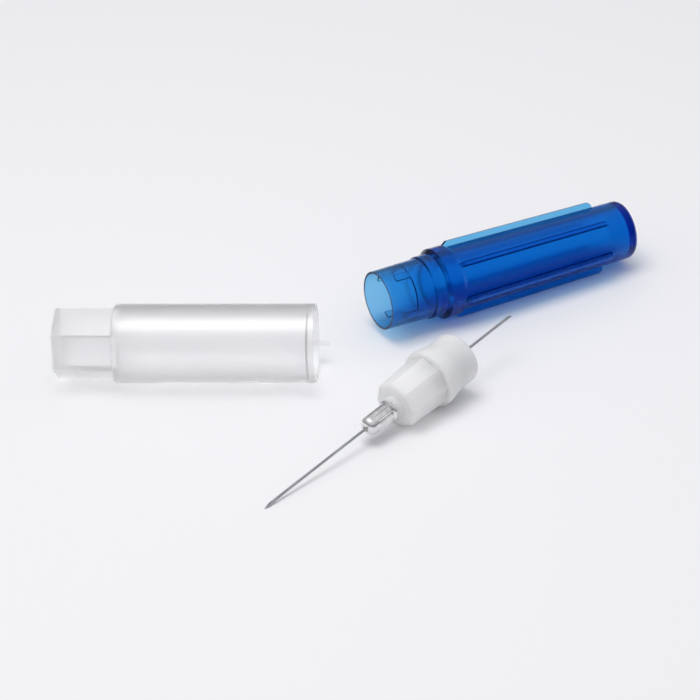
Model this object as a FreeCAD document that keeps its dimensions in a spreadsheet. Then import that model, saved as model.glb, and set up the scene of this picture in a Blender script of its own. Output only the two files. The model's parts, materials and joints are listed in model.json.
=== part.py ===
"""A short dental hypodermic needle with its two caps taken off, as a parametric document in millimetres.

The steel cannula runs through a metal ferrule and an octagonal plastic hub with a threaded socket behind.
The blue sheath that covers the long end and the frosted cap that covers the short end lie beside it.
Each piece is drawn along its own X axis and then laid down where it rests on the floor at Z = 0.
"""

import FreeCAD
import Part
import Sketcher
import math
import os

document = FreeCAD.newDocument("Needle")

# Driving dimensions: alias, value in millimetres or degrees, meaning.
SIZES = [
    ("cannula_radius", 0.205, "Cannula, outside radius"),
    ("cannula_bore", 0.105, "Cannula, inside radius"),
    ("cannula_length", 54, "Cannula, tip to rear end"),
    ("bevel_angle", 12, "Main grind of the tip"),
    ("lancet_angle", 21, "Side grinds of the tip, slope"),
    ("lancet_turn", 38, "Side grinds of the tip, turn about the cannula"),
    ("rear_bevel_angle", 24, "Grind of the rear end"),
    ("glue_gap", 0.02, "Film of adhesive around the cannula"),
    ("exposed_length", 21.25, "Tip to the front of the ferrule"),
    ("ferrule_length", 5.25, "Ferrule, front to hub"),
    ("ferrule_radius", 1.43, "Ferrule, outside radius"),
    ("ferrule_nose", 1.0, "Ferrule, rounding of the front edge"),
    ("bead_radius", 1.72, "Bead at the foot of the ferrule, radius"),
    ("bead_width", 0.62, "Bead at the foot of the ferrule, width"),
    ("flute_length", 2.85, "Crimped flutes, length"),
    ("flute_radius", 0.5, "Crimped flutes, radius of the hollow"),
    ("flute_depth", 0.26, "Crimped flutes, depth"),
    ("flute_count", 6, "Crimped flutes around the ferrule"),
    ("flute_turn", 6.6, "Crimped flutes, turn of one from straight up"),
    ("boss_length", 1.15, "Round boss between ferrule and octagon"),
    ("boss_radius", 1.78, "Round boss, radius"),
    ("octagon_length", 7.3, "Octagonal grip, length"),
    ("octagon_radius", 3.68, "Octagonal grip, corner radius at the front"),
    ("octagon_draft", 2, "Octagonal grip, draft angle"),
    ("octagon_chamfer", 0.28, "Octagonal grip, chamfer of the front edge"),
    ("octagon_turn", 5.4, "Octagonal grip, turn of a corner from straight up"),
    ("shoulder_width", 1.0, "Shoulder of the hub, width of its round land"),
    ("shoulder_radius", 4.48, "Shoulder of the hub, radius"),
    ("shoulder_edge", 0.22, "Shoulder of the hub, chamfer of its front edge"),
    ("shoulder_taper", 2.5, "Taper from the shoulder down to the skirt, length"),
    ("skirt_length", 3.4, "Round skirt behind the taper, length"),
    ("skirt_radius", 3.98, "Round skirt, radius"),
    ("skirt_round", 0.5, "Rounding of the skirt's rear edge"),
    ("socket_radius", 3.02, "Socket for the syringe thread, radius"),
    ("socket_depth", 8.2, "Socket, depth"),
    ("socket_lead", 0.3, "Socket, chamfer of the mouth"),
    ("spigot_length", 2.6, "Cone around the cannula inside the socket, length"),
    ("spigot_foot", 1.35, "Cone around the cannula, radius at its foot"),
    ("spigot_top", 0.85, "Cone around the cannula, radius at its top"),
    ("sheath_length", 43.5, "Sheath, mouth to closed end"),
    ("mouth_radius", 4.52, "Sheath, outside radius at the mouth"),
    ("mouth_wall", 0.35, "Sheath, wall at the mouth"),
    ("mouth_depth", 4.3, "Sheath, mouth to the inner step"),
    ("mouth_lead", 2.0, "Sheath, straight bore at the mouth, length"),
    ("collar_start", 7.3, "Sheath, mouth to the outer step"),
    ("collar_radius", 4.84, "Sheath, radius behind the outer step"),
    ("ring_start", 9.3, "Sheath, mouth to the grip ring"),
    ("ring_end", 12.7, "Sheath, mouth to the rear of the grip ring"),
    ("ring_radius", 5.48, "Grip ring, radius"),
    ("ring_round", 0.6, "Grip ring, rounding of its edges"),
    ("barrel_radius", 5.03, "Sheath, radius behind the ring"),
    ("tail_radius", 4.58, "Sheath, radius at the closed end"),
    ("tail_round", 0.55, "Sheath, rounding of the closed end"),
    ("tail_wall", 1.2, "Sheath, thickness of the closed end"),
    ("cavity_radius", 3.84, "Sheath, bore behind the inner step"),
    ("cavity_end", 3.42, "Sheath, bore at the closed end"),
    ("fin_count", 6, "Fins around the barrel"),
    ("fin_thickness", 0.62, "Fins, thickness"),
    ("fin_end", 38.6, "Fins, mouth to their rear end"),
    ("fin_radius", 5.97, "Fins, outer radius at the ring"),
    ("fin_tail", 5.6, "Fins, outer radius at the rear"),
    ("fin_root", 0.45, "Fins, depth of the root in the barrel wall"),
    ("fin_round", 0.5, "Fins, rounding of the rear corner"),
    ("tongue_count", 4, "Tongues inside the mouth of the sheath"),
    ("tongue_length", 2.2, "Tongues, length ahead of the step"),
    ("tongue_width", 1.1, "Tongues, width"),
    ("tongue_turn", 79.4, "Tongues, turn from straight up"),
    ("cap_length", 38.64, "Cap, mouth to closed end"),
    ("cap_radius", 5.86, "Cap, outside radius of the round part"),
    ("cap_wall", 0.86, "Cap, wall of the round part"),
    ("lip_length", 0.85, "Cap, thin lip at the mouth, length"),
    ("lip_wall", 0.42, "Cap, thin lip at the mouth, wall"),
    ("hexagon_length", 8.9, "Cap, length of the hexagonal end"),
    ("hexagon_radius", 5.42, "Cap, corner radius of the hexagonal end"),
    ("hexagon_wall", 0.9, "Cap, wall of the hexagonal end"),
    ("hexagon_turn", 12.9, "Cap, turn of a corner from straight up"),
    ("cap_end_wall", 1.4, "Cap, thickness of the closed end"),
    ("cap_round", 0.4, "Cap, rounding of the outer edges"),
    ("tab_reach", 1.65, "Tab at the cap's mouth, reach past the rim"),
    ("tab_root", 3.2, "Tab, length inside the mouth"),
    ("tab_width", 0.85, "Tab, width"),
    ("tab_thickness", 0.45, "Tab, thickness"),
    ("tab_turn", 121, "Tab, turn from straight up"),
    ("needle_x", -9.24, "Needle tip on the floor, X"),
    ("needle_y", -43.23, "Needle tip on the floor, Y"),
    ("needle_turn", 51.25, "Needle, direction on the floor"),
    ("sheath_x", 4.21, "Sheath mouth over the floor, X"),
    ("sheath_y", 4.57, "Sheath mouth over the floor, Y"),
    ("sheath_turn", 32.37, "Sheath, direction on the floor"),
    ("sheath_roll", 10, "Sheath, turn about its own axis from resting on two fins"),
    ("cap_x", -4.3, "Cap rim over the floor, X"),
    ("cap_y", -7.9, "Cap axis over the floor, Y"),
    ("middle_x", 0, "Middle of the group, X"),
    ("middle_y", 0, "Middle of the group, Y"),
]

# Places and slopes that follow from the sizes: alias, formula, meaning.
PLACES = [
    ("hub_front", "=sizes.exposed_length + sizes.ferrule_length", "Front face of the hub"),
    ("octagon_front", "=B1 + sizes.boss_length", "Front face of the octagon"),
    ("shoulder_front", "=B2 + sizes.octagon_length", "Front of the shoulder ring"),
    ("shoulder_rear", "=B3 + sizes.shoulder_width", "Rear of the shoulder's land"),
    ("hub_rear", "=B4 + sizes.shoulder_taper + sizes.skirt_length", "Rear face of the hub"),
    ("socket_floor", "=B5 - sizes.socket_depth", "Floor of the socket"),
    ("bore_radius", "=sizes.cannula_radius + sizes.glue_gap", "Bore around the cannula"),
    ("corner_reach", "=(sizes.octagon_radius + sizes.octagon_chamfer * tan(sizes.octagon_draft)) "
     "* cos(sizes.octagon_turn)", "Lowest corner below the axis"),
    ("corner_slope", "=atan((B8 - sizes.cannula_radius) / (B2 + sizes.octagon_chamfer)) / 1 deg",
     "Tilt of the needle on the octagon"),
    ("shoulder_slope", "=atan((sizes.shoulder_radius - sizes.cannula_radius) / (B3 + B4) * 2) / 1 deg",
     "Tilt of the needle on the shoulder"),
    ("needle_tilt", "=max(B9; B10)", "Tilt of the needle at rest"),
    ("needle_height", "=sizes.cannula_radius * cos(B11)", "Height of the needle's axis at its tip"),
    ("fin_reach", "=sizes.fin_tail * cos(30 - sizes.sheath_roll) + "
     "sizes.fin_thickness / 2 * sin(30 - sizes.sheath_roll)",
     "Lowest fin below the axis at its rear end"),
    ("sheath_tilt", "=atan((B16 - B13) / (sizes.fin_end - sizes.fin_round - B17)) / 1 deg",
     "Tilt of the sheath at rest"),
    ("sheath_height", "=B16 * cos(B14) + B17 * sin(B14)", "Height of the sheath's axis at its mouth"),
    ("fin_front", "=sizes.fin_radius * cos(30 - sizes.sheath_roll) + "
     "sizes.fin_thickness / 2 * sin(30 - sizes.sheath_roll)",
     "Lowest fin below the axis at its front end"),
    ("fin_start", "=sizes.ring_end + 0.2", "Front end of the fins' full height"),
]


def fill(sheet, rows):
    """Writes one row for each named value: its meaning, then the value, which takes the alias."""
    for number, (alias, content, meaning) in enumerate(rows, start=1):
        sheet.set("A%d" % number, meaning)
        sheet.set("B%d" % number, str(content))
        sheet.setAlias("B%d" % number, alias)


sizes = document.addObject("Spreadsheet::Sheet", "sizes")
fill(sizes, SIZES)
places = document.addObject("Spreadsheet::Sheet", "places")
fill(places, PLACES)
document.recompute()


def value(alias):
    """The number behind a named value, for the few choices that need one."""
    sheet = sizes if sizes.getCellFromAlias(alias) else places
    return float(sheet.get(alias))


def new_body(name):
    """An empty body for one piece."""
    body = document.addObject("PartDesign::Body", name)
    body.Label = name
    return body


def origin_part(body, role):
    """One of the body's own planes or axes."""
    return [item for item in body.Origin.OriginFeatures if item.Role == role][0]


def new_sketch(body, name, role, along=None, spin=None):
    """A sketch on one of the body's planes, moved along the plane's normal and spun about it."""
    sketch = body.newObject("Sketcher::SketchObject", name)
    sketch.AttachmentSupport = (origin_part(body, role), [""])
    sketch.MapMode = "FlatFace"
    if spin is not None:
        sketch.AttachmentOffset = FreeCAD.Placement(
            FreeCAD.Vector(), FreeCAD.Rotation(FreeCAD.Vector(0, 0, 1), 1.0)
        )
        sketch.setExpression("AttachmentOffset.Rotation.Angle", spin)
    if along is not None:
        sketch.setExpression("AttachmentOffset.Base.z", along)
    return sketch


def bind(sketch, constraint, name, formula):
    """Adds a named constraint that follows a formula."""
    index = sketch.addConstraint(constraint)
    sketch.renameConstraint(index, name)
    sketch.setExpression("Constraints." + name, formula)


def outline(sketch, corners):
    """Draws a closed outline of straight sides whose corners follow pairs of formulas."""
    count = len(corners)
    spots = []
    for number in range(count):
        angle = 2 * math.pi * number / count
        spots.append(FreeCAD.Vector(20 * math.cos(angle), 20 * math.sin(angle), 0))
    for number in range(count):
        sketch.addGeometry(Part.LineSegment(spots[number], spots[(number + 1) % count]), False)
    for number in range(count):
        following = (number + 1) % count
        sketch.addConstraint(Sketcher.Constraint("Coincident", number, 2, following, 1))
    for number, (across, upward) in enumerate(corners):
        for kind, letter, formula, start in (
            ("DistanceX", "x", across, spots[number].x),
            ("DistanceY", "y", upward, spots[number].y),
        ):
            if formula == "0":
                sketch.addConstraint(Sketcher.Constraint(kind, -1, 1, number, 1, 0.0))
            else:
                constraint = Sketcher.Constraint(kind, -1, 1, number, 1, start)
                bind(sketch, constraint, "%s%d" % (letter, number + 1), formula)


def polygon(sketch, count, formula, start):
    """Draws a regular polygon about the sketch's origin with one corner straight up."""
    centre = FreeCAD.Vector()
    circle = sketch.addGeometry(Part.Circle(centre, FreeCAD.Vector(0, 0, 1), start), True)
    sketch.addConstraint(Sketcher.Constraint("Coincident", circle, 3, -1, 1))
    bind(sketch, Sketcher.Constraint("Radius", circle, start), "corner", formula)
    spots = []
    for number in range(count):
        angle = math.pi / 2 + 2 * math.pi * number / count
        spots.append(FreeCAD.Vector(start * math.cos(angle), start * math.sin(angle), 0))
    sides = []
    for number in range(count):
        line = Part.LineSegment(spots[number], spots[(number + 1) % count])
        sides.append(sketch.addGeometry(line, False))
    for number in range(count):
        following = sides[(number + 1) % count]
        sketch.addConstraint(Sketcher.Constraint("Coincident", sides[number], 2, following, 1))
        sketch.addConstraint(Sketcher.Constraint("PointOnObject", sides[number], 1, circle))
    for number in range(1, count):
        sketch.addConstraint(Sketcher.Constraint("Equal", sides[0], sides[number]))
    sketch.addConstraint(Sketcher.Constraint("PointOnObject", sides[0], 1, -2))


def disc(sketch, name, formula, start):
    """Draws a circle about the sketch's origin."""
    shape = Part.Circle(FreeCAD.Vector(), FreeCAD.Vector(0, 0, 1), start)
    circle = sketch.addGeometry(shape, False)
    sketch.addConstraint(Sketcher.Constraint("Coincident", circle, 3, -1, 1))
    bind(sketch, Sketcher.Constraint("Radius", circle, start), name, formula)


def turned(body, kind, name, corners):
    """Turns an outline of (along, radius) corners about the body's X axis, to add or to cut."""
    sketch = new_sketch(body, name + "_profile", "XY_Plane")
    outline(sketch, corners)
    feature = body.newObject("PartDesign::" + kind, name)
    feature.Profile = sketch
    feature.ReferenceAxis = (sketch, ["H_Axis"])
    feature.Angle = 360
    sketch.Visibility = False
    return feature


def pushed(body, kind, name, sketch, length=None, both=False):
    """Pads or pockets a sketch along its normal, by a length or through all, on one side or both."""
    feature = body.newObject("PartDesign::" + kind, name)
    feature.Profile = sketch
    if length is None:
        feature.Type = "ThroughAll"
    else:
        feature.Type = "Length"
        feature.setExpression("Length", length)
    if both:
        feature.SideType = "Symmetric"
    sketch.Visibility = False
    return feature


def around(body, name, features, count):
    """Repeats features evenly about the body's X axis."""
    pattern = body.newObject("PartDesign::PolarPattern", name)
    pattern.Originals = features
    pattern.Axis = (origin_part(body, "X_Axis"), [""])
    pattern.Angle = 360
    pattern.setExpression("Occurrences", count)
    body.Tip = pattern
    return pattern


def round_edges(shape, along, radius):
    """Names of the circular edges about the X axis at one place and of one radius."""
    names = []
    for number, edge in enumerate(shape.Edges, start=1):
        if edge.Curve.TypeId != "Part::GeomCircle":
            continue
        middle = edge.Curve.Center
        if abs(middle.x - along) < 1e-4 and math.hypot(middle.y, middle.z) < 1e-4:
            if abs(edge.Curve.Radius - radius) < 1e-3:
                names.append("Edge%d" % number)
    return names


def soften(body, kind, name, edges, size):
    """Rounds or chamfers edges of the body's last feature."""
    base = body.Tip
    feature = body.newObject("PartDesign::" + kind, name)
    feature.Base = (base, edges)
    if kind == "Fillet":
        feature.setExpression("Radius", size)
    else:
        feature.setExpression("Size", size)
    body.Tip = feature
    document.recompute()
    return feature


def lay(body, across, upward, height, turn, pitch, roll):
    """Places a piece: its position, its direction on the floor and its slope."""
    body.setExpression(
        "Placement",
        "create(<<placement>>; create(<<vector>>; %s - sizes.middle_x; %s - sizes.middle_y; %s); "
        "create(<<rotation>>; %s; %s; %s))" % (across, upward, height, turn, pitch, roll),
    )


# Cannula: a drawn steel tube whose tip has a main grind and two side grinds, and a plain grind behind.
cannula = new_body("cannula")
tube = new_sketch(cannula, "cannula_rings", "YZ_Plane")
disc(tube, "outside", "sizes.cannula_radius", 0.2)
disc(tube, "inside", "sizes.cannula_bore", 0.1)
pushed(cannula, "Pad", "cannula_tube", tube, "sizes.cannula_length")
grind = new_sketch(cannula, "bevel_side", "XZ_Plane")
outline(grind, [
    ("-1 * sizes.cannula_radius / tan(sizes.bevel_angle)", "-2 * sizes.cannula_radius"),
    ("3 * sizes.cannula_radius / tan(sizes.bevel_angle)", "2 * sizes.cannula_radius"),
    ("-1 * sizes.cannula_radius / tan(sizes.bevel_angle)", "2 * sizes.cannula_radius"),
])
pushed(cannula, "Pocket", "bevel", grind, None, True)
for side, sign in (("left", "-1"), ("right", "1")):
    grind = new_sketch(cannula, "lancet_" + side + "_side", "XZ_Plane")
    grind.AttachmentOffset = FreeCAD.Placement(
        FreeCAD.Vector(), FreeCAD.Rotation(FreeCAD.Vector(1, 0, 0), 1.0)
    )
    grind.setExpression("AttachmentOffset.Rotation.Angle", sign + " * sizes.lancet_turn")
    depth = "sizes.cannula_radius * cos(sizes.lancet_turn)"
    slope = "sizes.cannula_radius / tan(sizes.lancet_angle)"
    outline(grind, [
        ("-2 * " + slope, "-1 * " + depth + " - 2 * sizes.cannula_radius"),
        ("4 * " + slope, "-1 * " + depth + " + 4 * sizes.cannula_radius"),
        ("-2 * " + slope, "-1 * " + depth + " + 4 * sizes.cannula_radius"),
    ])
    pushed(cannula, "Pocket", "lancet_" + side, grind, None, True)
grind = new_sketch(cannula, "rear_bevel_side", "XZ_Plane")
outline(grind, [
    ("sizes.cannula_length - 3 * sizes.cannula_radius / tan(sizes.rear_bevel_angle)", "2 * sizes.cannula_radius"),
    ("sizes.cannula_length + sizes.cannula_radius / tan(sizes.rear_bevel_angle)", "-2 * sizes.cannula_radius"),
    ("sizes.cannula_length + sizes.cannula_radius / tan(sizes.rear_bevel_angle)", "2 * sizes.cannula_radius"),
])
pushed(cannula, "Pocket", "rear_bevel", grind, None, True)

# Ferrule: a polished collar with a rounded nose, crimped flutes and a bead that seats on the hub.
ferrule = new_body("ferrule")
turned(ferrule, "Revolution", "collar", [
    ("sizes.exposed_length", "places.bore_radius"),
    ("places.hub_front", "places.bore_radius"),
    ("places.hub_front", "sizes.bead_radius - sizes.bead_width * 0.3"),
    ("places.hub_front - sizes.bead_width * 0.3", "sizes.bead_radius"),
    ("places.hub_front - sizes.bead_width * 0.7", "sizes.bead_radius"),
    ("places.hub_front - sizes.bead_width", "sizes.bead_radius - sizes.bead_width * 0.3"),
    ("places.hub_front - sizes.bead_width", "sizes.ferrule_radius"),
    ("sizes.exposed_length", "sizes.ferrule_radius"),
])
document.recompute()
front = value("exposed_length")
nose = round_edges(ferrule.Tip.Shape, front, value("ferrule_radius"))
soften(ferrule, "Fillet", "nose", nose, "sizes.ferrule_nose")
flute_start = "places.hub_front - sizes.bead_width - sizes.flute_length"
hollow = new_sketch(ferrule, "flute_section", "YZ_Plane", flute_start, "sizes.flute_turn")
circle = hollow.addGeometry(Part.Circle(FreeCAD.Vector(0, 1.65, 0), FreeCAD.Vector(0, 0, 1), 0.4), False)
hollow.addConstraint(Sketcher.Constraint("PointOnObject", circle, 3, -2))
bind(hollow, Sketcher.Constraint("Radius", circle, 0.4), "hollow", "sizes.flute_radius")
bind(hollow, Sketcher.Constraint("DistanceY", -1, 1, circle, 3, 1.65), "centre",
     "sizes.ferrule_radius + sizes.flute_radius - sizes.flute_depth")
flute = pushed(ferrule, "Pocket", "flute", hollow, "sizes.flute_length")
flute.Reversed = True
around(ferrule, "flutes", [flute], "sizes.flute_count")

# Hub: round boss, octagonal grip, shoulder ring and skirt, with the socket and its cone inside.
hub = new_body("hub")
grip = new_sketch(hub, "octagon", "YZ_Plane", "places.octagon_front", "-1 * sizes.octagon_turn")
polygon(grip, 8, "sizes.octagon_radius", 3.7)
octagon = pushed(hub, "Pad", "grip", grip, "sizes.octagon_length")
octagon.setExpression("TaperAngle", "sizes.octagon_draft")
document.recompute()
front = value("octagon_front")
edges = []
for number, edge in enumerate(octagon.Shape.Edges, start=1):
    if all(abs(vertex.X - front) < 1e-4 for vertex in edge.Vertexes):
        edges.append("Edge%d" % number)
soften(hub, "Chamfer", "grip_chamfer", edges, "sizes.octagon_chamfer")
turned(hub, "Revolution", "hub_core", [
    ("places.hub_front", "0"),
    ("places.hub_rear", "0"),
    ("places.hub_rear", "sizes.skirt_radius - sizes.skirt_round"),
    ("places.hub_rear - sizes.skirt_round * 0.3", "sizes.skirt_radius - sizes.skirt_round * 0.3"),
    ("places.hub_rear - sizes.skirt_round", "sizes.skirt_radius"),
    ("places.hub_rear - sizes.skirt_length", "sizes.skirt_radius"),
    ("places.shoulder_rear", "sizes.shoulder_radius"),
    ("places.shoulder_front + sizes.shoulder_edge", "sizes.shoulder_radius"),
    ("places.shoulder_front", "sizes.shoulder_radius - sizes.shoulder_edge"),
    ("places.shoulder_front", "sizes.boss_radius"),
    ("places.hub_front", "sizes.boss_radius"),
])
turned(hub, "Groove", "socket", [
    ("places.hub_front - 1", "0"),
    ("places.hub_rear + 1", "0"),
    ("places.hub_rear + 1", "sizes.socket_radius + sizes.socket_lead"),
    ("places.hub_rear", "sizes.socket_radius + sizes.socket_lead"),
    ("places.hub_rear - sizes.socket_lead", "sizes.socket_radius"),
    ("places.socket_floor", "sizes.socket_radius"),
    ("places.socket_floor", "sizes.spigot_foot"),
    ("places.socket_floor + sizes.spigot_length", "sizes.spigot_top"),
    ("places.socket_floor + sizes.spigot_length", "places.bore_radius"),
    ("places.hub_front - 1", "places.bore_radius"),
])

# Sheath: a drafted tube with a thin mouth, a grip ring and six fins, closed at its far end.
sheath = new_body("sheath")
turned(sheath, "Revolution", "shell", [
    ("0", "sizes.mouth_radius"),
    ("sizes.collar_start", "sizes.mouth_radius + 0.1"),
    ("sizes.collar_start + 0.25", "sizes.collar_radius"),
    ("sizes.ring_start", "sizes.collar_radius"),
    ("sizes.ring_start + sizes.ring_round * 0.3", "sizes.ring_radius - sizes.ring_round * 0.7"),
    ("sizes.ring_start + sizes.ring_round", "sizes.ring_radius"),
    ("sizes.ring_end - sizes.ring_round", "sizes.ring_radius"),
    ("sizes.ring_end", "sizes.ring_radius - sizes.ring_round * 0.6"),
    ("sizes.ring_end", "sizes.barrel_radius"),
    ("sizes.sheath_length - sizes.tail_round", "sizes.tail_radius"),
    ("sizes.sheath_length - sizes.tail_round * 0.3", "sizes.tail_radius - sizes.tail_round * 0.3"),
    ("sizes.sheath_length", "sizes.tail_radius - sizes.tail_round"),
    ("sizes.sheath_length", "0"),
    ("sizes.sheath_length - sizes.tail_wall", "0"),
    ("sizes.sheath_length - sizes.tail_wall", "sizes.cavity_end"),
    ("sizes.mouth_depth + 0.3", "sizes.cavity_radius"),
    ("sizes.mouth_depth", "sizes.mouth_radius - sizes.mouth_wall - 0.06"),
    ("sizes.mouth_lead", "sizes.mouth_radius - sizes.mouth_wall"),
    ("0", "sizes.mouth_radius - sizes.mouth_wall"),
])
blade = new_sketch(sheath, "fin_side", "XY_Plane")
outline(blade, [
    ("sizes.ring_end - sizes.ring_round", "sizes.barrel_radius - sizes.fin_root"),
    ("sizes.fin_end", "sizes.tail_radius - sizes.fin_root"),
    ("sizes.fin_end", "sizes.fin_tail - sizes.fin_round"),
    ("sizes.fin_end - sizes.fin_round", "sizes.fin_tail"),
    ("places.fin_start", "sizes.fin_radius"),
    ("sizes.ring_end - sizes.ring_round", "sizes.ring_radius - 0.05"),
])
fin = pushed(sheath, "Pad", "fin", blade, "sizes.fin_thickness", True)
around(sheath, "fins", [fin], "sizes.fin_count")
step = "sizes.mouth_depth - sizes.tongue_length"
root = new_sketch(sheath, "tongue_section", "YZ_Plane", step, "-1 * sizes.tongue_turn")
outline(root, [
    ("-1 * sizes.tongue_width / 2", "sizes.cavity_radius"),
    ("sizes.tongue_width / 2", "sizes.cavity_radius"),
    ("sizes.tongue_width / 2", "sizes.mouth_radius - sizes.mouth_wall * 0.6"),
    ("-1 * sizes.tongue_width / 2", "sizes.mouth_radius - sizes.mouth_wall * 0.6"),
])
tongue = pushed(sheath, "Pad", "tongue", root, "sizes.tongue_length + 0.25")
around(sheath, "tongues", [tongue], "sizes.tongue_count")

# Cap: a round tube with a hexagonal closed end, a thin lip and one small tab at its mouth.
cap = new_body("cap")
grip = new_sketch(cap, "hexagon", "YZ_Plane", "-1 * sizes.cap_length", "-1 * sizes.hexagon_turn")
polygon(grip, 6, "sizes.hexagon_radius", 5.4)
pushed(cap, "Pad", "hexagon_end", grip, "sizes.hexagon_length + sizes.cap_wall / 2")
document.recompute()
rear = -value("cap_length")
edges = []
for number, edge in enumerate(cap.Tip.Shape.Edges, start=1):
    if all(abs(vertex.X - rear) < 1e-4 for vertex in edge.Vertexes):
        edges.append("Edge%d" % number)
soften(cap, "Fillet", "hexagon_edge", edges, "sizes.cap_round")
shoulder_at = "sizes.hexagon_length - sizes.cap_length"
turned(cap, "Revolution", "cap_tube", [
    (shoulder_at, "0"),
    ("0", "0"),
    ("0", "sizes.cap_radius"),
    (shoulder_at, "sizes.cap_radius"),
])
document.recompute()
edges = round_edges(cap.Tip.Shape, value("hexagon_length") - value("cap_length"), value("cap_radius"))
soften(cap, "Fillet", "shoulder_edge", edges, "sizes.cap_round")
turned(cap, "Groove", "cap_bore", [
    (shoulder_at + " + sizes.cap_wall", "0"),
    ("1", "0"),
    ("1", "sizes.cap_radius - sizes.lip_wall"),
    ("-1 * sizes.lip_length", "sizes.cap_radius - sizes.lip_wall"),
    ("-1 * sizes.lip_length - 0.3", "sizes.cap_radius - sizes.cap_wall"),
    (shoulder_at + " + sizes.cap_wall", "sizes.cap_radius - sizes.cap_wall"),
])
inner = new_sketch(cap, "hexagon_bore", "YZ_Plane", "sizes.cap_end_wall - sizes.cap_length",
                   "-1 * sizes.hexagon_turn")
polygon(inner, 6, "sizes.hexagon_radius - sizes.hexagon_wall / cos(30)", 4.4)
bore = pushed(cap, "Pocket", "hexagon_hollow", inner, "sizes.hexagon_length")
bore.Reversed = True
strip = new_sketch(cap, "tab_section", "YZ_Plane", "-1 * sizes.tab_root", "-1 * sizes.tab_turn")
outline(strip, [
    ("-1 * sizes.tab_width / 2", "sizes.cap_radius - sizes.cap_wall - sizes.tab_thickness + 0.1"),
    ("sizes.tab_width / 2", "sizes.cap_radius - sizes.cap_wall - sizes.tab_thickness + 0.1"),
    ("sizes.tab_width / 2", "sizes.cap_radius - sizes.cap_wall + 0.1"),
    ("-1 * sizes.tab_width / 2", "sizes.cap_radius - sizes.cap_wall + 0.1"),
])
pushed(cap, "Pad", "tab", strip, "sizes.tab_root + sizes.tab_reach")
document.recompute()
edges = []
for number, edge in enumerate(cap.Tip.Shape.Edges, start=1):
    if all(abs(vertex.X - value("tab_reach")) < 1e-4 for vertex in edge.Vertexes):
        if abs(edge.Length - value("tab_thickness")) < 1e-4:
            edges.append("Edge%d" % number)
soften(cap, "Fillet", "tab_end", edges, "sizes.tab_width * 0.42")

# Resting places: the needle on its tip and hub, the sheath on its ring and two fins, the cap on its side.
for body in (cannula, ferrule, hub):
    lay(body, "sizes.needle_x", "sizes.needle_y", "places.needle_height", "sizes.needle_turn",
        "-1 * places.needle_tilt", "0")
lay(sheath, "sizes.sheath_x", "sizes.sheath_y", "places.sheath_height", "sizes.sheath_turn",
    "places.sheath_tilt", "sizes.sheath_roll")
lay(cap, "sizes.cap_x", "sizes.cap_y", "sizes.cap_radius", "0", "0", "0")
document.recompute()

# The origin lies under the middle of the group's box.
pieces = [cannula, ferrule, hub, sheath, cap]
whole = FreeCAD.BoundBox()
for body in pieces:
    whole.add(body.Shape.optimalBoundingBox(False, False))
for alias, middle in (("middle_x", whole.Center.x), ("middle_y", whole.Center.y)):
    sizes.set(sizes.getCellFromAlias(alias), "%.4f" % middle)
document.recompute()

# Every object and every solid is sound before anything is written.
for item in document.Objects:
    if "Invalid" in item.State or "Error" in item.State:
        raise RuntimeError("failed: " + item.Name)
for body in pieces:
    shape = body.Shape
    if shape.isNull() or not shape.isValid() or len(shape.Solids) != 1:
        raise RuntimeError("no sound solid: " + body.Label)
os.makedirs("parts", exist_ok=True)
for body in pieces:
    body.Shape.exportStep("parts/" + body.Label + ".step")
    box = body.Shape.optimalBoundingBox(False, False)
    print(body.Label, "volume %.2f" % body.Shape.Volume, "lowest %.3f" % box.ZMin, "highest %.3f" % box.ZMax)
print("middle %.4f %.4f" % (value("middle_x"), value("middle_y")))
print("tilts %.4f %.4f" % (value("needle_tilt"), value("sheath_tilt")))
print("heights %.4f %.4f" % (value("needle_height"), value("sheath_height")))
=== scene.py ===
import bpy
import json
import math
from mathutils import Matrix, Vector


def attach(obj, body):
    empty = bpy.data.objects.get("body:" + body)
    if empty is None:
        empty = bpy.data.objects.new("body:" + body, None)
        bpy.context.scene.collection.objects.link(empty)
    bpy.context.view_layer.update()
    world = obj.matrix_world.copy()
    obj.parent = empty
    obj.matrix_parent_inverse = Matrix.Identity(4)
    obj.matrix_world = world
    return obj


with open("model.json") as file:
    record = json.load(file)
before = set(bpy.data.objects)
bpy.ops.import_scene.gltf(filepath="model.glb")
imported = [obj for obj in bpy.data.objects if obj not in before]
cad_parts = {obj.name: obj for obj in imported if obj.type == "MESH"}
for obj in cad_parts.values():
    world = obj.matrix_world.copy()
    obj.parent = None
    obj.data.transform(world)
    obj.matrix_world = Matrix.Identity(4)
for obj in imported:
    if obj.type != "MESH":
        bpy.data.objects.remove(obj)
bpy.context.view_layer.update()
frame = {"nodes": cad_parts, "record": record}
nodes = frame["nodes"]
mounts = {mount["name"]: mount for mount in frame["record"]["mounts"]}

# Cannula: the drawn and ground steel tube that runs through the whole needle.
# Stainless steel, polished, with faint drawing marks along its length and bright ground bevels.

millimetre = 0.001


def colour(text):
    """An sRGB hex value as linear red, green, blue and alpha."""
    parts = []
    for start in (1, 3, 5):
        level = int(text[start:start + 2], 16) / 255
        parts.append(level / 12.92 if level <= 0.04045 else ((level + 0.055) / 1.055) ** 2.4)
    return (parts[0], parts[1], parts[2], 1.0)


def add(tree, kind, settings=None, links=None):
    """Adds a node with its settings and links."""
    item = tree.nodes.new(kind)
    for name, value in (settings or {}).items():
        if isinstance(name, int) or name in item.inputs:
            item.inputs[name].default_value = value
        else:
            setattr(item, name, value)
    for name, source in (links or {}).items():
        tree.links.new(source, item.inputs[name])
    return item


def new_material(name):
    """An empty node material and its tree."""
    made = bpy.data.materials.new(name)
    made.use_nodes = True
    made.node_tree.nodes.clear()
    return made, made.node_tree


def dress(piece, made):
    """Gives every slot of a piece one material."""
    if not piece.data.materials:
        piece.data.materials.append(made)
    for number in range(len(piece.data.materials)):
        piece.data.materials[number] = made


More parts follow.
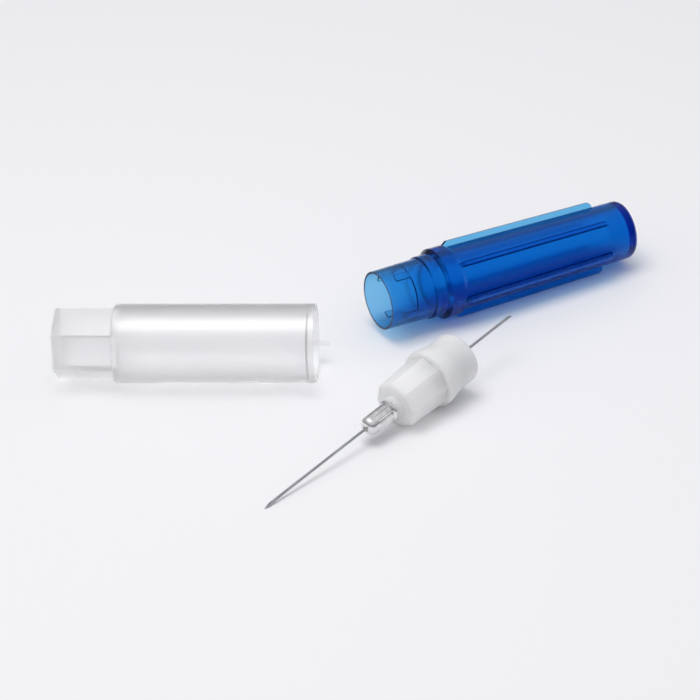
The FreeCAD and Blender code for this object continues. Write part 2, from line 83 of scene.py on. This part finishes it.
tip = Vector(mounts["needle_tip"]["pos_m"])
needle_axis = -Vector(mounts["needle_tip"]["axis"])
along_needle = needle_axis.to_track_quat("X", "Z").to_euler()

# Real drawing marks are a few thousandths of a millimetre wide. These are drawn coarser, so that they show.
mark_length = 3.33 * millimetre
mark_width = 0.0833 * millimetre

steel, tree = new_material("drawn_stainless_steel")
place = add(tree, "ShaderNodeTexCoord")
turned = add(tree, "ShaderNodeMapping", {"vector_type": "TEXTURE", "Rotation": along_needle},
             {"Vector": place.outputs["Object"]})
stretch = add(tree, "ShaderNodeMapping", {"Scale": (1 / mark_length, 1 / mark_width, 1 / mark_width)},
              {"Vector": turned.outputs["Vector"]})
marks = add(tree, "ShaderNodeTexNoise", {"Scale": 1.0, "Detail": 2.0}, {"Vector": stretch.outputs["Vector"]})
tone = add(tree, "ShaderNodeValToRGB", links={"Fac": marks.outputs["Fac"]})
tone.color_ramp.elements[0].color = colour("#8E9095")
tone.color_ramp.elements[0].position = 0.3
tone.color_ramp.elements[1].color = colour("#C4C5C9")
tone.color_ramp.elements[1].position = 0.7
rough = add(tree, "ShaderNodeMapRange", {"To Min": 0.2, "To Max": 0.36}, {"Value": marks.outputs["Fac"]})
bump = add(tree, "ShaderNodeBump", {"Strength": 0.2, "Distance": 0.01 * millimetre},
           {"Height": marks.outputs["Fac"]})
metal = add(tree, "ShaderNodeBsdfPrincipled", {"Metallic": 1.0}, {
    "Base Color": tone.outputs["Color"],
    "Roughness": rough.outputs["Result"],
    "Normal": bump.outputs["Normal"],
})
add(tree, "ShaderNodeOutputMaterial", links={"Surface": metal.outputs["BSDF"]})
dress(nodes["cannula"], steel)

# Ferrule: the polished metal collar with crimped flutes that grips the cannula in front of the hub.
# Turned and crimped metal, bright, with slight unevenness from the crimping.

crimp_wave = 1.11 * millimetre

bright, tree = new_material("polished_crimped_metal")
place = add(tree, "ShaderNodeTexCoord")
waves = add(tree, "ShaderNodeTexNoise", {"Scale": 1 / crimp_wave, "Detail": 1.0},
            {"Vector": place.outputs["Object"]})
tone = add(tree, "ShaderNodeValToRGB", links={"Fac": waves.outputs["Fac"]})
tone.color_ramp.elements[0].color = colour("#DCDCDE")
tone.color_ramp.elements[0].position = 0.35
tone.color_ramp.elements[1].color = colour("#F4F4F5")
tone.color_ramp.elements[1].position = 0.7
rough = add(tree, "ShaderNodeMapRange", {"To Min": 0.14, "To Max": 0.24}, {"Value": waves.outputs["Fac"]})
bump = add(tree, "ShaderNodeBump", {"Strength": 0.25, "Distance": 0.03 * millimetre},
           {"Height": waves.outputs["Fac"]})
metal = add(tree, "ShaderNodeBsdfPrincipled", {"Metallic": 1.0}, {
    "Base Color": tone.outputs["Color"],
    "Roughness": rough.outputs["Result"],
    "Normal": bump.outputs["Normal"],
})
add(tree, "ShaderNodeOutputMaterial", links={"Surface": metal.outputs["BSDF"]})
dress(nodes["ferrule"], bright)

# Hub: the octagonal grip with its shoulder ring and skirt, which screws onto the syringe.
# Injection-moulded natural polypropylene, satin, with light that sinks a little way into the wall.


def see_through(tree, shader, share):
    """Lets a share of the light through a thin or milky moulding to the floor behind it."""
    path = add(tree, "ShaderNodeLightPath")
    amount = add(tree, "ShaderNodeMath", {"operation": "MULTIPLY", 1: share},
                 {0: path.outputs["Is Shadow Ray"]})
    clear = add(tree, "ShaderNodeBsdfTransparent")
    both = add(tree, "ShaderNodeMixShader", links={
        "Fac": amount.outputs["Value"],
        1: shader.outputs["BSDF"],
        2: clear.outputs["BSDF"],
    })
    return both.outputs["Shader"]


# The grain of a satin mould is under a tenth of a millimetre. It is drawn coarser, so that it shows.
mould_grain = 0.385 * millimetre
hub_cloud = 4.17 * millimetre
light_depth = 3 * millimetre

natural, tree = new_material("moulded_natural_polypropylene")
place = add(tree, "ShaderNodeTexCoord")
grain = add(tree, "ShaderNodeTexNoise", {"Scale": 1 / mould_grain, "Detail": 2.0},
            {"Vector": place.outputs["Object"]})
cloud = add(tree, "ShaderNodeTexNoise", {"Scale": 1 / hub_cloud, "Detail": 2.0},
            {"Vector": place.outputs["Object"]})
tone = add(tree, "ShaderNodeValToRGB", links={"Fac": cloud.outputs["Fac"]})
tone.color_ramp.elements[0].color = colour("#F6F6F5")
tone.color_ramp.elements[0].position = 0.3
tone.color_ramp.elements[1].color = colour("#FDFDFD")
tone.color_ramp.elements[1].position = 0.7
rough = add(tree, "ShaderNodeMapRange", {"To Min": 0.34, "To Max": 0.5}, {"Value": cloud.outputs["Fac"]})
bump = add(tree, "ShaderNodeBump", {"Strength": 0.25, "Distance": 0.03 * millimetre},
           {"Height": grain.outputs["Fac"]})
plastic = add(tree, "ShaderNodeBsdfPrincipled", {
    "IOR": 1.49,
    "Transmission Weight": 0.12,
    "Subsurface Weight": 1.0,
    "Subsurface Radius": (1.0, 0.97, 0.92),
    "Subsurface Scale": light_depth,
}, {
    "Base Color": tone.outputs["Color"],
    "Roughness": rough.outputs["Result"],
    "Normal": bump.outputs["Normal"],
})
add(tree, "ShaderNodeOutputMaterial", links={"Surface": see_through(tree, plastic, 0.4)})
dress(nodes["hub"], natural)

# Thread in the hub's socket: the ridge that draws the hub onto the tip of the syringe.
# It is part of the same moulding, a blunt ridge of 0.9 mm pitch that stands 0.25 mm off the wall.


def sweep(name, rings, closed):
    """A mesh from rings of points: each ring is joined to the next, and open ends are capped."""
    points = [point for ring in rings for point in ring]
    count = len(rings[0])
    faces = []
    for number in range(len(rings) - (0 if closed else 1)):
        here = number * count
        there = (number + 1) % len(rings) * count
        for step in range(count):
            after = (step + 1) % count
            faces.append((here + step, here + after, there + after, there + step))
    if not closed:
        faces.append(tuple(range(count - 1, -1, -1)))
        faces.append(tuple(range(len(points) - count, len(points))))
    mesh = bpy.data.meshes.new(name)
    mesh.from_pydata(points, [], faces)
    for face in mesh.polygons:
        face.use_smooth = len(face.vertices) == 4
    piece = bpy.data.objects.new(name, mesh)
    bpy.context.scene.collection.objects.link(piece)
    return piece


socket_mouth = Vector(mounts["syringe_socket"]["pos_m"])
sideways = needle_axis.cross(Vector((0.0, 0.0, 1.0))).normalized()
upward = sideways.cross(needle_axis)


def outward_at(step, steps):
    """The direction that points away from the needle's axis after this many steps of a full turn."""
    angle = 2 * math.pi * step / steps
    return sideways * math.cos(angle) + upward * math.sin(angle)


socket_radius = 3.02 * millimetre
thread_pitch = 0.9 * millimetre
thread_height = 0.25 * millimetre
thread_start = 0.7 * millimetre
thread_turns = 4
half_crest = 0.09 * millimetre
half_foot = 0.28 * millimetre
foot_in_wall = 0.05 * millimetre
least_height = 0.01 * millimetre
steps_per_turn = 48
fade_steps = 12
last_step = thread_turns * steps_per_turn
rings = []
for step in range(last_step + 1):
    outward = outward_at(step, steps_per_turn)
    centre = socket_mouth - needle_axis * (thread_start + thread_pitch * step / steps_per_turn)
    fade = min(1.0, step / fade_steps, (last_step - step) / fade_steps)
    crest = socket_radius - max(thread_height * fade, least_height)
    foot = socket_radius + foot_in_wall
    rings.append([
        centre + outward * foot - needle_axis * half_foot,
        centre + outward * crest - needle_axis * half_crest,
        centre + outward * crest + needle_axis * half_crest,
        centre + outward * foot + needle_axis * half_foot,
    ])
thread = sweep("socket_thread", rings, False)
dress(thread, natural)
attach(thread, "root")

# Adhesive: the drop that holds the cannula where it leaves the front of the ferrule.
# Clear cured resin, smooth, drawn up around the steel in a small cone.

resin_ripple = 0.667 * millimetre

cured, tree = new_material("cured_clear_adhesive")
place = add(tree, "ShaderNodeTexCoord")
ripple = add(tree, "ShaderNodeTexNoise", {"Scale": 1 / resin_ripple, "Detail": 1.0},
             {"Vector": place.outputs["Object"]})
rough = add(tree, "ShaderNodeMapRange", {"To Min": 0.05, "To Max": 0.15}, {"Value": ripple.outputs["Fac"]})
resin = add(tree, "ShaderNodeBsdfPrincipled", {
    "Base Color": colour("#F2EFE6"),
    "IOR": 1.5,
    "Transmission Weight": 0.8,
}, {"Roughness": rough.outputs["Result"]})
add(tree, "ShaderNodeOutputMaterial", links={"Surface": resin.outputs["BSDF"]})

# The free length of the cannula, and the drop's outline as places along the axis and radii, in millimetres.
ferrule_front = 21.25 * millimetre
drop_outline = (
    (-0.32, 0.21),
    (-0.22, 0.25),
    (-0.1, 0.33),
    (0.02, 0.48),
    (0.02, 0.21),
)
drop_steps = 36
rings = []
for step in range(drop_steps):
    outward = outward_at(step, drop_steps)
    rings.append([tip + needle_axis * (ferrule_front + along * millimetre) + outward * radius * millimetre
                  for along, radius in drop_outline])
drop = sweep("adhesive_drop", rings, True)
dress(drop, cured)
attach(drop, "root")

# Sheath: the finned tube that covers the long end of the needle.
# Injection-moulded transparent blue plastic with a smooth skin, darker where the wall is thicker.

flow_mark = 6.25 * millimetre

blue, tree = new_material("moulded_clear_blue_plastic")
place = add(tree, "ShaderNodeTexCoord")
flow = add(tree, "ShaderNodeTexNoise", {"Scale": 1 / flow_mark, "Detail": 2.0},
           {"Vector": place.outputs["Object"]})
tone = add(tree, "ShaderNodeValToRGB", links={"Fac": flow.outputs["Fac"]})
tone.color_ramp.elements[0].color = colour("#A6D2FA")
tone.color_ramp.elements[0].position = 0.3
tone.color_ramp.elements[1].color = colour("#B2D8FB")
tone.color_ramp.elements[1].position = 0.7
rough = add(tree, "ShaderNodeMapRange", {"To Min": 0.16, "To Max": 0.24}, {"Value": flow.outputs["Fac"]})
bump = add(tree, "ShaderNodeBump", {"Strength": 0.1, "Distance": 0.05 * millimetre},
           {"Height": flow.outputs["Fac"]})
plastic = add(tree, "ShaderNodeBsdfPrincipled", {
    "IOR": 1.49,
    "Transmission Weight": 1.0,
    "Specular Tint": colour("#4A94F0"),
}, {
    "Base Color": tone.outputs["Color"],
    "Roughness": rough.outputs["Result"],
    "Normal": bump.outputs["Normal"],
})
# The dye takes light away along its path through the wall. Its density counts per metre.
dye = add(tree, "ShaderNodeVolumeAbsorption", {"Color": colour("#00E1F7"), "Density": 1600.0})
add(tree, "ShaderNodeOutputMaterial", links={
    "Surface": see_through(tree, plastic, 0.5),
    "Volume": dye.outputs["Volume"],
})
dress(nodes["sheath"], blue)

# Cap: the tube with a hexagonal closed end that covers the short end of the needle.
# Injection-moulded frosted natural plastic: milky, so that its inner walls show only as soft shades.

cap_cloud = 6.25 * millimetre

frosted, tree = new_material("moulded_frosted_plastic")
place = add(tree, "ShaderNodeTexCoord")
grain = add(tree, "ShaderNodeTexNoise", {"Scale": 1 / mould_grain, "Detail": 2.0},
            {"Vector": place.outputs["Object"]})
cloud = add(tree, "ShaderNodeTexNoise", {"Scale": 1 / cap_cloud, "Detail": 2.0},
            {"Vector": place.outputs["Object"]})
tone = add(tree, "ShaderNodeValToRGB", links={"Fac": cloud.outputs["Fac"]})
tone.color_ramp.elements[0].color = colour("#FAFAFB")
tone.color_ramp.elements[0].position = 0.3
tone.color_ramp.elements[1].color = colour("#FFFFFF")
tone.color_ramp.elements[1].position = 0.7
rough = add(tree, "ShaderNodeMapRange", {"To Min": 0.36, "To Max": 0.46}, {"Value": cloud.outputs["Fac"]})
bump = add(tree, "ShaderNodeBump", {"Strength": 0.2, "Distance": 0.03 * millimetre},
           {"Height": grain.outputs["Fac"]})
plastic = add(tree, "ShaderNodeBsdfPrincipled", {
    "IOR": 1.45,
    "Transmission Weight": 0.92,
    "Coat Weight": 0.5,
    "Coat Roughness": 0.24,
}, {
    "Base Color": tone.outputs["Color"],
    "Roughness": rough.outputs["Result"],
    "Normal": bump.outputs["Normal"],
})
add(tree, "ShaderNodeOutputMaterial", links={"Surface": see_through(tree, plastic, 0.74)})
dress(nodes["cap"], frosted)

# Studio: a pale seamless floor under soft light.
# The air is brighter above than at the horizon, and one square lamp hangs a little to the left.

half_span = 3.0
corners = [(-half_span, -half_span, 0), (half_span, -half_span, 0), (half_span, half_span, 0),
           (-half_span, half_span, 0)]
floor_mesh = bpy.data.meshes.new("floor")
floor_mesh.from_pydata(corners, [], [(0, 1, 2, 3)])
floor = bpy.data.objects.new("floor", floor_mesh)
bpy.context.scene.collection.objects.link(floor)
pale, tree = new_material("pale_floor")
matt = add(tree, "ShaderNodeBsdfPrincipled", {"Base Color": colour("#F3F3F5"), "Roughness": 0.6})
add(tree, "ShaderNodeOutputMaterial", links={"Surface": matt.outputs["BSDF"]})
dress(floor, pale)

world = bpy.data.worlds.new("studio_air")
world.use_nodes = True
bpy.context.scene.world = world
tree = world.node_tree
tree.nodes.clear()
place = add(tree, "ShaderNodeTexCoord")
height = add(tree, "ShaderNodeSeparateXYZ", links={"Vector": place.outputs["Generated"]})
level = add(tree, "ShaderNodeMapRange", {"From Min": 0.1, "From Max": 0.7, "To Min": 0.165, "To Max": 0.685},
            {"Value": height.outputs["Z"]})
air = add(tree, "ShaderNodeBackground", {"Color": colour("#FBFBFE")}, {"Strength": level.outputs["Result"]})
add(tree, "ShaderNodeOutputWorld", links={"Surface": air.outputs["Background"]})

lamp = bpy.data.lights.new("overhead", "AREA")
lamp.shape = "SQUARE"
lamp.size = 0.3
lamp.energy = 1.25
overhead = bpy.data.objects.new("overhead", lamp)
overhead.location = (-0.07, -0.03, 0.5)
overhead.rotation_euler = (-overhead.location).to_track_quat("-Z", "Y").to_euler()
bpy.context.scene.collection.objects.link(overhead)

# Camera: a long lens above the front of the group.
# Its picture is 700 pixels square, and the focal length is given in those pixels.

distance = 0.4898
elevation = math.radians(30.66)
swing = math.radians(4.826)
roll = math.radians(-2.5)
focal_pixels = 3265.0
picture_pixels = 700.0
sensor_width = 36.0
middle = Vector((-0.000116, 0.0058563, 0.0))
away = Vector((
    math.sin(swing) * math.cos(elevation),
    -math.cos(swing) * math.cos(elevation),
    math.sin(elevation),
))
right = Vector((math.cos(swing), math.sin(swing), 0.0))
up = away.cross(right)
tilted_right = right * math.cos(roll) + up * math.sin(roll)
tilted_up = up * math.cos(roll) - right * math.sin(roll)
lens = bpy.data.cameras.new("camera")
lens.sensor_width = sensor_width
lens.lens = focal_pixels * sensor_width / picture_pixels
lens.clip_start = 0.01
lens.clip_end = 20.0
camera = bpy.data.objects.new("camera", lens)
turn = Matrix((tilted_right, tilted_up, away)).transposed().to_4x4()
camera.matrix_world = Matrix.Translation(middle + away * distance) @ turn
bpy.context.scene.collection.objects.link(camera)
bpy.context.scene.camera = camera
bpy.context.scene.view_settings.view_transform = "Standard"
